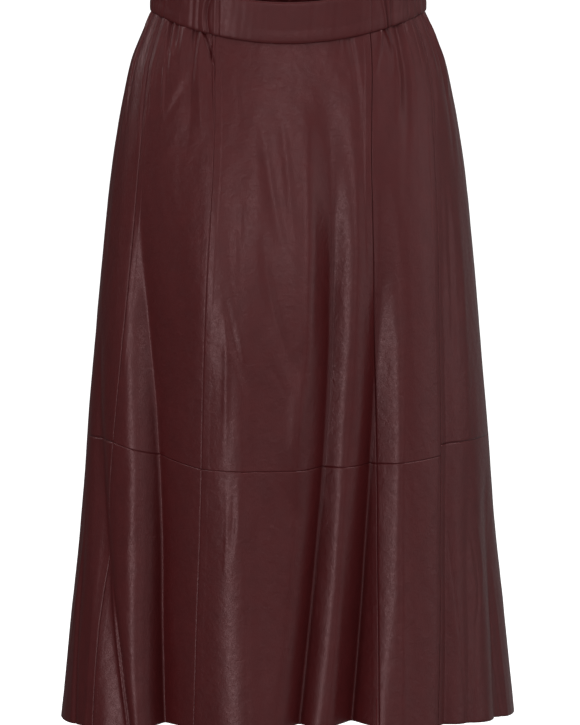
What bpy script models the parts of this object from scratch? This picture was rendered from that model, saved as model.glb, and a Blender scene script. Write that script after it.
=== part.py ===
"""Leather skirt, filled out as worn: a waistband and ten panels round one open hollow.

Frame: metres, +Z up, the front faces -Y and the wearer's left is +X. The origin is the middle
of the waistband ring, halfway up the band at its sides, where a waist holds the skirt.

A place on the cloth has two numbers. "turn" is the angle round the ring in degrees, from the
front centre and positive towards +X. "fall" is the way down from the waist seam, measured at
the side of the skirt.
"""
import math

import bmesh
import bpy

# ---- driving dimensions, in metres and degrees ----
BAND_HEIGHT = 0.041
SIDE_FALL = 0.728           # waist seam to hem, down the side
WAIST_DIP_FRONT = 0.029     # the front of the waist seam hangs lower than its sides
WAIST_RISE_BACK = 0.006
HEM_RISE_FRONT = 0.006
HEM_TILT = 0.0026           # the hem is this much higher at +X and lower at -X
RING_SQUARENESS = 0.018     # how far the rings fill out between front and side
PANEL_WALL = 0.0014
BAND_WALL = 0.0024
BAND_PROUD = 0.0008         # the band stands this far outside the panels
SEAM_GAP = 0.0003
SEAM_STRIP = 0.0004         # a narrow column or row along each seam, so that walls meet squarely

# Gathers: one groove every GATHER_PITCH degrees where the band is elasticated.
GATHER_PITCH = 7.2
GATHER_DEPTH = 0.0019
GATHER_SHORT = 0.028        # fall over which the shortest and the longest gathers fade
GATHER_LONG = 0.095
RIB_DEPTH = 0.0012          # the same ripples on the band itself
SEAM_CALM = 0.014           # gathers flatten out this close to a seam
FOLD_BOTTOM = 0.003         # how round the folds are at the bottom and at the crests beside them
FOLD_CREST = 0.009
FOLD_START = 0.30           # share of a fold's length over which it sets in
FOLD_SOFT = 0.006           # how much rounder its bottom is where it starts
FOLD_LIFT = 0.10            # cloth moved by a fold rises by this share of its depth

# Rings of the filled-out skirt.
RING_COLUMNS = ("fall", "half_width", "half_depth_front", "half_depth_back")
RINGS = (
    (0.000, 0.1395, 0.0970, 0.0980),
    (0.012, 0.1452, 0.0995, 0.1035),
    (0.031, 0.1534, 0.1032, 0.1090),
    (0.052, 0.1613, 0.1075, 0.1140),
    (0.093, 0.1706, 0.1160, 0.1240),
    (0.134, 0.1778, 0.1243, 0.1325),
    (0.175, 0.1835, 0.1318, 0.1385),
    (0.237, 0.1902, 0.1415, 0.1445),
    (0.300, 0.1964, 0.1485, 0.1495),
    (0.400, 0.2058, 0.1550, 0.1575),
    (0.485, 0.2127, 0.1600, 0.1650),
    (0.546, 0.2180, 0.1645, 0.1710),
    (0.608, 0.2250, 0.1695, 0.1780),
    (0.660, 0.2304, 0.1752, 0.1840),
    (0.728, 0.2374, 0.1840, 0.1920),
)

# Directions of the long seams, in degrees, going down the skirt.
SEAM_COLUMNS = ("fall", "front_left", "front_right", "side_left", "side_right")
SEAMS = (
    (0.000, -31.4, 36.0, -66.0, 66.0),
    (0.060, -26.5, 31.0, -61.0, 60.5),
    (0.140, -24.3, 28.2, -57.5, 55.5),
    (0.260, -24.4, 27.2, -57.3, 52.5),
    (0.360, -24.7, 26.4, -57.5, 50.0),
    (0.480, -24.3, 25.5, -58.8, 47.0),
    (0.600, -24.0, 24.2, -59.5, 43.8),
    (0.728, -23.5, 22.9, -57.0, 40.0),
)

# Directions of the two joins in the band.
BAND_JOIN_LEFT = -29.4
BAND_JOIN_RIGHT = 36.4

# Main folds. Each has its directions at its start, at 0.25 and 0.55 of its length and at the hem,
# the reach of both flanks at the hem, the share of that reach at the start, the degrees by which
# the trough leans from straight inwards (towards -X in front), its depth at the hem and how it
# grows (1 evenly, less sooner). "hollow" is 1 for even flanks and more for flanks that start
# gently and end steeply at the trough.
FOLD_COLUMNS = (
    "start", "turn_0", "turn_25", "turn_55", "turn_hem",
    "left", "right", "narrow", "lean", "depth", "growth", "hollow",
)
FOLD_SHARES = (0.0, 0.25, 0.55, 1.0)
FOLDS = (
    # front, from -X to +X
    (0.26, -76.5, -73.5, -62.5, -46.0, 0.022, 0.014, 0.9, 0.0, -0.013, 0.7, 1.0),
    (0.05, -58.4, -52.2, -40.6, -32.4, 0.032, 0.078, 0.9, 22.0, -0.038, 0.71, 1.5),
    (-0.04, 13.4, 15.6, 12.4, 2.9, 0.017, 0.022, 1.3, 0.0, -0.032, 0.5, 1.0),
    (0.05, 29.6, 28.4, 23.2, 14.8, 0.024, 0.037, 0.55, -17.0, -0.044, 0.65, 1.0),
    (0.06, 63.0, 55.7, 51.0, 42.5, 0.009, 0.024, 1.0, -20.0, -0.010, 0.6, 1.0),
    (0.36, 64.0, 61.0, 57.0, 52.0, 0.020, 0.020, 0.8, 0.0, -0.006, 0.8, 1.0),
    (0.42, 74.0, 73.0, 71.5, 68.5, 0.020, 0.024, 0.8, 0.0, -0.010, 0.8, 1.0),
    # back, from +X to -X
    (0.14, 104.0, 102.5, 101.0, 100.0, 0.028, 0.034, 0.8, 0.0, -0.016, 0.8, 1.0),
    (0.10, 124.0, 122.5, 121.0, 120.0, 0.020, 0.060, 0.9, -10.0, -0.034, 0.8, 1.0),
    (0.18, 148.0, 146.5, 145.0, 142.0, 0.028, 0.030, 0.8, 0.0, -0.018, 0.8, 1.0),
    (0.12, 170.0, 169.0, 168.0, 166.0, 0.056, 0.022, 0.9, 8.0, -0.034, 0.8, 1.0),
    (0.16, -164.0, -163.5, -163.0, -161.0, 0.026, 0.034, 0.8, 0.0, -0.018, 0.8, 1.0),
    (0.09, -141.0, -140.0, -139.0, -137.0, 0.060, 0.020, 0.9, 12.0, -0.034, 0.8, 1.0),
    (0.15, -118.0, -117.0, -116.0, -114.0, 0.028, 0.034, 0.8, 0.0, -0.018, 0.8, 1.0),
    (0.34, -103.0, -102.0, -101.0, -100.0, 0.024, 0.024, 0.8, 0.0, -0.009, 0.8, 1.0),
)

# Panels: the seams they lie between, the cross seam's fall at both, and columns of faces.
BACK_CENTRE = {"left": -180.0, "right": 180.0}
PANEL_COLUMNS = ("name", "from", "to", "cross_from", "cross_to", "faces_upper", "faces_lower")
PANELS = (
    ("front_centre", "front_left", "front_right", 0.4530, 0.4520, 36, 36),
    ("front_side_left", "side_left", "front_left", 0.4335, 0.4530, 26, 26),
    ("front_side_right", "front_right", "side_right", 0.4520, 0.4470, 18, 18),
    ("back_left", "back_centre_left", "side_left", 0.4400, 0.4335, 58, 58),
    ("back_right", "side_right", "back_centre_right", 0.4360, 0.4400, 58, 58),
)
ROWS_UPPER = 10
ROWS_LOWER = 7
ROW_CROWDING = 0.65         # how far the upper rows crowd towards the waist, 0 for even rows
ROWS_BAND = 3

LEATHER_COLOUR = (0.065, 0.019, 0.020, 1.0)
LEATHER_ROUGHNESS = 0.42


def smooth_step(value):
    """0 below 0, 1 above 1 and a soft S between."""
    value = min(1.0, max(0.0, value))
    return value * value * (3.0 - 2.0 * value)


def along(table, columns, column, at):
    """A column's value at a height, on one smooth curve through the table's rows."""
    place = columns.index(column)
    heights = [row[0] for row in table]
    values = [row[place] for row in table]
    last = len(heights) - 1
    at = min(heights[last], max(heights[0], at))
    row = max(i for i in range(last) if heights[i] <= at)

    def slope(i):
        low, high = max(0, i - 1), min(last, i + 1)
        return (values[high] - values[low]) / (heights[high] - heights[low])

    span = heights[row + 1] - heights[row]
    t = (at - heights[row]) / span
    start = (1.0 + 2.0 * t) * (1.0 - t) ** 2 * values[row] + t * (1.0 - t) ** 2 * span * slope(row)
    end = t * t * (3.0 - 2.0 * t) * values[row + 1] + t * t * (t - 1.0) * span * slope(row + 1)
    return start + end


def seam_turn(seam, fall):
    """Direction of a long seam at a height."""
    if seam.startswith("back_centre"):
        return BACK_CENTRE[seam.removeprefix("back_centre_")]
    return along(SEAMS, SEAM_COLUMNS, seam, fall)


def ring(turn, fall):
    """Half width and half depth of the ring at a height, going smoothly from front to back."""
    half_width = along(RINGS, RING_COLUMNS, "half_width", fall)
    front = along(RINGS, RING_COLUMNS, "half_depth_front", fall)
    back = along(RINGS, RING_COLUMNS, "half_depth_back", fall)
    towards_back = (1.0 - math.cos(math.radians(turn))) / 2.0
    return half_width, front + (back - front) * towards_back


def arc_per_degree(turn, fall):
    """Length along the ring of one degree of turn."""
    half_width, half_depth = ring(turn, fall)
    angle = math.radians(turn)
    return math.radians(math.hypot(half_width * math.cos(angle), half_depth * math.sin(angle)))


def fold_turn(fold, fall):
    """A fold's direction at a height."""
    keys = ("turn_0", "turn_25", "turn_55", "turn_hem")
    path = tuple((share, fold[key]) for share, key in zip(FOLD_SHARES, keys))
    return along(path, ("share", "turn"), "turn", (fall - fold["start"]) / (SIDE_FALL - fold["start"]))


def fold_relief(turn, fall):
    """How far the main folds move the cloth outwards and sideways."""
    outwards, sideways = 0.0, 0.0
    for row in FOLDS:
        fold = dict(zip(FOLD_COLUMNS, row))
        grown = (fall - fold["start"]) / (SIDE_FALL - fold["start"])
        if grown <= 0.0:
            continue
        offset = (turn - fold_turn(fold, fall) + 180.0) % 360.0 - 180.0
        reach = fold["left"] if offset < 0.0 else fold["right"]
        reach *= fold["narrow"] + (1.0 - fold["narrow"]) * grown
        bottom = FOLD_BOTTOM + FOLD_SOFT * (1.0 - grown) ** 2
        away = math.hypot(offset * arc_per_degree(turn, fall), bottom) - bottom
        flank = reach - away + math.hypot(reach - away, FOLD_CREST)
        flank = (flank / (reach + math.hypot(reach, FOLD_CREST))) ** fold["hollow"]
        moved = fold["depth"] * grown ** fold["growth"] * smooth_step(grown / FOLD_START) * flank
        outwards += moved * math.cos(math.radians(fold["lean"]))
        sideways += moved * math.sin(math.radians(fold["lean"]))
    return outwards, sideways


def ripple(waist_turn):
    """Wave of the gathers round the waist, uneven from one gather to the next."""
    count = waist_turn / GATHER_PITCH
    size = 0.72 + 0.28 * math.sin(4.1 * count + 1.0)
    return -size * math.cos(2.0 * math.pi * count)


def gather_relief(waist_turn, fall):
    """Ripples that hang from the elasticated band and fade down the panel."""
    length_share = 0.5 + 0.5 * math.sin(1.9 * waist_turn / GATHER_PITCH)
    length = GATHER_SHORT + (GATHER_LONG - GATHER_SHORT) * length_share
    return GATHER_DEPTH * ripple(waist_turn) * math.exp(-fall / length)


def waist_seam_height(turn):
    """Height of the seam that joins the band to the panels."""
    facing = math.cos(math.radians(turn))
    change = -WAIST_DIP_FRONT if facing > 0.0 else WAIST_RISE_BACK
    return -BAND_HEIGHT / 2.0 + change * facing * facing


def hem_height(turn):
    """Height of the hem."""
    angle = math.radians(turn)
    rise = HEM_RISE_FRONT * max(0.0, math.cos(angle)) ** 2 + HEM_TILT * math.sin(angle)
    return -BAND_HEIGHT / 2.0 - SIDE_FALL + rise


def on_ring(turn, fall, relief, height, sideways=0.0):
    """Point at a direction, moved out from the ring at "fall" by "relief", at a height."""
    half_width, half_depth = ring(turn, fall)
    angle = math.radians(turn)
    fill = 1.0 + RING_SQUARENESS * math.sin(2.0 * angle) ** 2
    out_x, out_y = math.sin(angle) / half_width, -math.cos(angle) / half_depth
    size = math.hypot(out_x, out_y)
    out_x, out_y = out_x / size, out_y / size
    x = half_width * math.sin(angle) * fill + relief * out_x - sideways * out_y
    y = -half_depth * math.cos(angle) * fill + relief * out_y + sideways * out_x
    return x, y, height


def panel_point(turn, fall, waist_turn, calm):
    """Point on the outer face of the panels."""
    outwards, sideways = fold_relief(turn, fall)
    relief = outwards + calm * gather_relief(waist_turn, fall)
    share = fall / SIDE_FALL
    height = waist_seam_height(turn) * (1.0 - share) + hem_height(turn) * share
    lift = FOLD_LIFT * math.hypot(outwards, sideways) * share
    return on_ring(turn, fall, relief, height + lift, sideways)


def with_strips(across, faces, width):
    """Shares across a piece: even columns, but for a narrow one along both seams."""
    column = round(across * faces)
    if column in (0, faces):
        return float(column == faces)
    strip = SEAM_STRIP / width
    return strip + (1.0 - 2.0 * strip) * (column - 1) / (faces - 2)


def seam_calm(across, width):
    """0 on a piece's side edges and 1 away from them."""
    from_edge = min(across, 1.0 - across) * width
    return smooth_step(from_edge / SEAM_CALM)


def add_material(name):
    """Smooth dark red leather."""
    material = bpy.data.materials.new(name)
    material.use_nodes = True
    shader = material.node_tree.nodes["Principled BSDF"]
    shader.inputs["Base Color"].default_value = LEATHER_COLOUR
    shader.inputs["Roughness"].default_value = LEATHER_ROUGHNESS
    shader.inputs["Metallic"].default_value = 0.0
    return material


def add_wall(name, faces_across, faces_down, place, wall, group, parent):
    """A piece of cloth: a grid laid on the form by "place" and thickened inwards."""
    sheet = bmesh.new()
    bmesh.ops.create_grid(sheet, x_segments=faces_across, y_segments=faces_down, size=0.5)
    for corner in sheet.verts:
        corner.co = place(corner.co.x + 0.5, 0.5 - corner.co.y)
    mesh = bpy.data.meshes.new(name)
    sheet.to_mesh(mesh)
    sheet.free()
    mesh.shade_smooth()
    mesh.materials.append(add_material(name))
    piece = bpy.data.objects.new(name, mesh)
    group.objects.link(piece)
    piece.parent = parent
    thicken = piece.modifiers.new("wall", "SOLIDIFY")
    thicken.thickness = wall
    thicken.offset = -1.0


def add_panel(panel, part, group, parent):
    """Upper or lower part of a panel, between two long seams and two cross edges."""

    def place(across, down):
        cross = panel["cross_from"] + (panel["cross_to"] - panel["cross_from"]) * across
        if part == "upper":
            row = round(down * ROWS_UPPER)
            down = min(1.0, row / (ROWS_UPPER - 1))
            down = down * (1.0 - ROW_CROWDING) + down * down * ROW_CROWDING
            first, last = SEAM_GAP, cross - SEAM_GAP / 2.0
            fall = first + (last - SEAM_STRIP - first) * down if row < ROWS_UPPER else last
        else:
            row = round(down * ROWS_LOWER)
            down = max(0.0, (row - 1) / (ROWS_LOWER - 1))
            first, last = cross + SEAM_GAP / 2.0, SIDE_FALL
            fall = last - (last - SEAM_STRIP - first) * (1.0 - down) if row > 0 else first
        start, end = seam_turn(panel["from"], fall), seam_turn(panel["to"], fall)
        waist_start, waist_end = seam_turn(panel["from"], 0.0), seam_turn(panel["to"], 0.0)
        start += SEAM_GAP / 2.0 / arc_per_degree(start, fall)
        end -= SEAM_GAP / 2.0 / arc_per_degree(end, fall)
        width = (end - start) * arc_per_degree((start + end) / 2.0, fall)
        across = with_strips(across, panel["faces_" + part], width)
        waist_turn = waist_start + (waist_end - waist_start) * across
        calm = 0.0
        if panel["name"] != "front_centre":
            calm = seam_calm(across, (waist_end - waist_start) * arc_per_degree(waist_turn, 0.0))
        return panel_point(start + (end - start) * across, fall, waist_turn, calm)

    rows = ROWS_UPPER if part == "upper" else ROWS_LOWER
    add_wall(panel["name"] + "_" + part, panel["faces_" + part], rows, place, PANEL_WALL, group, parent)


def add_band(name, start, end, faces_across, ribbed, group, parent):
    """A piece of the waistband."""

    def place(across, down):
        first = start + SEAM_GAP / 2.0 / arc_per_degree(start, 0.0)
        last = end - SEAM_GAP / 2.0 / arc_per_degree(end, 0.0)
        width = (last - first) * arc_per_degree((first + last) / 2.0, 0.0)
        across = with_strips(across, faces_across, width)
        turn = first + (last - first) * across
        relief = BAND_PROUD
        if ribbed:
            relief += RIB_DEPTH * ripple(turn) * seam_calm(across, width)
        return on_ring(turn, 0.0, relief, waist_seam_height(turn) + BAND_HEIGHT * (1.0 - down))

    add_wall(name, faces_across, ROWS_BAND, place, BAND_WALL, group, parent)


def build():
    for old in list(bpy.data.objects):
        bpy.data.objects.remove(old, do_unlink=True)
    group = bpy.data.collections.new("leather_skirt")
    bpy.context.scene.collection.children.link(group)
    waist = bpy.data.objects.new("waist_centre", None)
    group.objects.link(waist)

    for row in PANELS:
        panel = dict(zip(PANEL_COLUMNS, row))
        add_panel(panel, "upper", group, waist)
        add_panel(panel, "lower", group, waist)
    add_band("waistband_front", BAND_JOIN_LEFT, BAND_JOIN_RIGHT, 18, False, group, waist)
    add_band("waistband_left", BACK_CENTRE["left"], BAND_JOIN_LEFT, 86, True, group, waist)
    add_band("waistband_right", BAND_JOIN_RIGHT, BACK_CENTRE["right"], 82, True, group, waist)


build()
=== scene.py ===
"""Looks of the leather skirt: waistband, panels, seams, stitches, creases and leather.

A place on the cloth has two numbers, as in the solids. "turn" is the angle round the ring in
degrees, from the front centre and positive towards +X. "fall" is the way down from the waist
seam, measured at the side of the skirt. Lengths are in metres.
"""
import math

import bmesh
import bpy
import numpy as np
from mathutils import Matrix, Vector


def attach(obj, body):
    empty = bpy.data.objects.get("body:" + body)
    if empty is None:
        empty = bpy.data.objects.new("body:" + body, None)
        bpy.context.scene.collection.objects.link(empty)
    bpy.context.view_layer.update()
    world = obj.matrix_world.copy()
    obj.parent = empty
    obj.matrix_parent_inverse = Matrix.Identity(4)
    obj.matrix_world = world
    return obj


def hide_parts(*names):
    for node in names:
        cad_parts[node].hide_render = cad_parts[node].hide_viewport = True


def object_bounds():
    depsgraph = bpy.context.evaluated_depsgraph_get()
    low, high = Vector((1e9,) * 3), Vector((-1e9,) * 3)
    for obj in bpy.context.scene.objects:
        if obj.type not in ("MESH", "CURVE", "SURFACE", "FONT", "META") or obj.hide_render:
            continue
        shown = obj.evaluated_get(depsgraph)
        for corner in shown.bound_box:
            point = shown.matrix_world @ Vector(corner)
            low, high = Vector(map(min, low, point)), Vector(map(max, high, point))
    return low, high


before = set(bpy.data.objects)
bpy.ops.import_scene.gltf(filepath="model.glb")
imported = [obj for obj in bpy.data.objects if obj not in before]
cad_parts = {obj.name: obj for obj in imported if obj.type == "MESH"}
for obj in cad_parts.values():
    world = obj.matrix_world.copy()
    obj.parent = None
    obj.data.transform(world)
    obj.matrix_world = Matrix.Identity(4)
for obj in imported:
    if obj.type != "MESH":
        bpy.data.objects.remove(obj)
CAD_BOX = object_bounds()

# ---- the form of the skirt, as its solids have it but with finer folds ----
BAND_HEIGHT = 0.041
SIDE_FALL = 0.728
WAIST_DIP_FRONT = 0.029
WAIST_RISE_BACK = 0.006
HEM_RISE_FRONT = 0.006
HEM_TILT = 0.0026
RING_SQUARENESS = 0.018
BAND_PROUD = 0.0008         # the band stands a little outside the waist ring
SEAM_OVERLAP = 0.00010      # edges meet at a seam, so that no light comes through
BAND_JOIN_LEFT = -29.4
BAND_JOIN_RIGHT = 36.4
FOLD_LIFT = 0.10            # share of a fold's depth by which it lifts the hem
FOLD_BOTTOM = 0.0014        # how round the folds are at the bottom and at the crests beside them
FOLD_CREST = 0.009
FOLD_CREST_SHARE = 0.10     # wide flanks have rounder crests
FOLD_START = 0.42           # share of a fold's length over which it sets in
FOLD_SOFT = 0.006           # how much rounder its bottom is where it starts

# ---- leather and sewing ----
PANEL_LEATHER = 0.0010
BAND_LEATHER = 0.0008       # the band is one strip folded over its elastic
BAND_FOLD = 0.0012          # radius of its fold
BAND_ALLOWANCE = 0.0085     # the seam allowance inside the band's lower edge, and how much it lifts
BAND_ALLOWANCE_RUN = 0.0020
BAND_ALLOWANCE_RISE = 0.0004
BAND_EDGE_TUCK = 0.0007     # the band's lower edge and its ends turn in
BAND_EDGE_HALF = 0.0009
BAND_END_TUCK = 0.0006
BAND_END_HALF = 0.0008
HEM_TURNING = 0.030
HEM_FOLD = 0.00105          # radius of the hem's fold
HEM_FOLDS_AT = 0.86         # shares of a lower panel's rows at which its hem folds and turns up
HEM_TURNS_UP_AT = 0.92
GROOVE_DEPTH = 0.00026      # the cloth sinks in at a seam
GROOVE_HALF = 0.0008
EDGE_ROLL = 0.00045         # how far from a seam its edges roll in
CROSS_GROOVE_DEPTH = 0.00003
CROSS_GAP = 0.00010
WAIST_ALLOWANCE = 0.0050    # the panels reach up into the band
WAIST_TUCK = 0.0014
WAIST_TUCK_RUN = 0.0020
ALLOWANCE_WIDTH = 0.0068    # seam allowances pressed under the panels
ALLOWANCE_EDGE = 0.0014
ALLOWANCE_FADE = 0.65       # the allowances lie flatter from the hips down
ALLOWANCE_FADE_START = 0.20
ALLOWANCE_FADE_RUN = 0.08
PUCKER_PITCH = 0.0125
PUCKER_HEIGHT = 0.00007
PUCKER_REACH = 0.0045
PUCKER_UNEVEN = 2.1         # how far the ripples shift, in radians, and how often along a seam
PUCKER_UNEVEN_RATE = 61.0

# Gathers hang from the elasticated parts of the band, which has finer ribs of its own. The rates
# have no common measure, so that no two gathers or ribs are alike: radians for each gather, and
# radians for each degree of the ribs.
GATHER_PITCH = 7.2
GATHER_DEPTH = 0.0031
GATHER_HALF = 1.15          # half width of a gather's groove, degrees at the waist
GATHER_WIDENING = 6.0       # its growth for each metre down
GATHER_SHORT = 0.028
GATHER_LONG = 0.095
GATHER_SWELL = 0.28         # height of the swells between the grooves, as a share of their depth
GATHER_FRONT = 0.22         # strength in front, where the listed ones do the rest
GATHER_SIDE_START = 60.0
GATHER_SIDE_RUN = 16.0
GATHER_SHARPNESS = 1.6      # a groove's section, rounder above 1
GATHER_SWELL_HALF = 0.33    # half width of a swell, as a share of the pitch
GATHER_SWELL_LENGTH = 1.4   # the swells reach further down than the grooves
GATHER_SCATTER = 0.20       # how far a gather stands from its even place, as a share of the pitch
GATHER_FAINTEST = 0.24      # depth of the faintest, as a share of the deepest
GATHER_RATES = {"place": 2.9, "depth": 4.1, "length": 1.9}
JOIN_CLEAR = 2.0            # degrees from a join to the gathers' start, and over which they set in
JOIN_RUN = 4.0
RIB_PITCH = 2.35
RIB_DEPTH = 0.0011
RIB_SLANT = 0.5             # how many degrees a rib wanders from the band's top down
RIB_UNEVEN = 1.5            # how far the ribs shift along the band, in radians
RIB_UNEVEN_FINER = 0.8
RIB_FAINTEST = 0.30
RIB_SWELL = 0.3
RIB_FADE = 1.5
RIB_RATES = {"slant": 0.9, "uneven": 0.37, "finer": 1.13, "depth": 0.71, "swell": 1.31}

RING_COLUMNS = ("fall", "half_width", "half_depth_front", "half_depth_back")
RINGS = (
    (0.000, 0.1395, 0.0970, 0.0980),
    (0.012, 0.1452, 0.0995, 0.1035),
    (0.031, 0.1534, 0.1032, 0.1090),
    (0.052, 0.1613, 0.1075, 0.1140),
    (0.093, 0.1706, 0.1160, 0.1240),
    (0.134, 0.1778, 0.1243, 0.1325),
    (0.175, 0.1835, 0.1318, 0.1385),
    (0.237, 0.1902, 0.1415, 0.1445),
    (0.300, 0.1964, 0.1485, 0.1495),
    (0.400, 0.2058, 0.1550, 0.1575),
    (0.485, 0.2127, 0.1600, 0.1650),
    (0.546, 0.2180, 0.1645, 0.1710),
    (0.608, 0.2250, 0.1695, 0.1780),
    (0.660, 0.2304, 0.1752, 0.1840),
    (0.728, 0.2374, 0.1840, 0.1920),
)

SEAM_COLUMNS = ("fall", "front_left", "front_right", "side_left", "side_right")
SEAMS = (
    (0.000, -31.4, 36.0, -66.0, 66.0),
    (0.060, -26.5, 31.0, -61.0, 60.5),
    (0.140, -24.3, 28.2, -57.5, 55.5),
    (0.260, -24.4, 27.2, -57.3, 52.5),
    (0.360, -24.7, 26.4, -57.5, 50.0),
    (0.480, -24.3, 25.5, -58.8, 47.0),
    (0.600, -24.0, 24.2, -59.5, 43.8),
    (0.728, -23.5, 22.9, -57.0, 40.0),
)
BACK_CENTRE = {"left": -180.0, "right": 180.0}

# Main folds. Each has its directions at its start, at 0.25 and 0.55 of its length and at the hem,
# the reach of both flanks at the hem, the share of that reach at the start, the degrees by which
# the trough leans from straight inwards (towards -X in front), its depth at the hem and how it
# grows (1 evenly, less sooner).
FOLD_COLUMNS = (
    "start", "turn_0", "turn_25", "turn_55", "turn_hem",
    "left", "right", "narrow", "lean", "depth", "growth", "hollow",
)
FOLD_SHARES = (0.0, 0.25, 0.55, 1.0)
FOLDS = (
    # front, from -X to +X
    (0.26, -76.5, -73.5, -62.5, -46.0, 0.022, 0.014, 0.9, 0.0, -0.013, 0.7, 1.0),
    (0.05, -58.4, -52.2, -40.6, -32.4, 0.032, 0.078, 0.9, 22.0, -0.038, 0.71, 1.5),
    (-0.04, 13.4, 15.6, 12.4, 2.9, 0.017, 0.022, 1.3, 0.0, -0.032, 0.5, 1.0),
    (0.05, 29.8, 29.4, 24.4, 14.8, 0.024, 0.037, 0.55, -17.0, -0.044, 0.65, 1.0),
    (0.06, 63.0, 55.7, 51.0, 42.5, 0.009, 0.024, 1.0, -20.0, -0.010, 0.6, 1.0),
    (0.36, 64.0, 61.0, 57.0, 52.0, 0.020, 0.020, 0.8, 0.0, -0.006, 0.8, 1.0),
    (0.42, 74.0, 73.0, 71.5, 68.5, 0.020, 0.024, 0.8, 0.0, -0.010, 0.8, 1.0),
    # back, from +X to -X
    (0.14, 104.0, 102.5, 101.0, 100.0, 0.028, 0.034, 0.8, 0.0, -0.016, 0.8, 1.0),
    (0.10, 124.0, 122.5, 121.0, 120.0, 0.020, 0.060, 0.9, -10.0, -0.034, 0.8, 1.0),
    (0.18, 148.0, 146.5, 145.0, 142.0, 0.028, 0.030, 0.8, 0.0, -0.018, 0.8, 1.0),
    (0.12, 170.0, 169.0, 168.0, 166.0, 0.056, 0.022, 0.9, 8.0, -0.034, 0.8, 1.0),
    (0.16, -164.0, -163.5, -163.0, -161.0, 0.026, 0.034, 0.8, 0.0, -0.018, 0.8, 1.0),
    (0.09, -141.0, -140.0, -139.0, -137.0, 0.060, 0.020, 0.9, 12.0, -0.034, 0.8, 1.0),
    (0.15, -118.0, -117.0, -116.0, -114.0, 0.028, 0.034, 0.8, 0.0, -0.018, 0.8, 1.0),
    (0.34, -103.0, -102.0, -101.0, -100.0, 0.024, 0.024, 0.8, 0.0, -0.009, 0.8, 1.0),
)

# How far the pressed allowances lift the leather before and after each long seam, going round from
# -X to +X in front, and how deep the edges roll in where they meet.
SEAM_EDGE_COLUMNS = ("seam", "rise_before", "rise_after", "roll")
SEAM_EDGES = (
    ("front_left", 0.00008, 0.00030, 0.00014),
    ("front_right", 0.00055, 0.00008, 0.00080),
    ("side_left", 0.00022, 0.00030, 0.00050),
    ("side_right", 0.00040, 0.00010, 0.00070),
    ("back_centre_left", 0.00025, 0.00025, 0.00050),
    ("back_centre_right", 0.00025, 0.00025, 0.00050),
)

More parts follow.
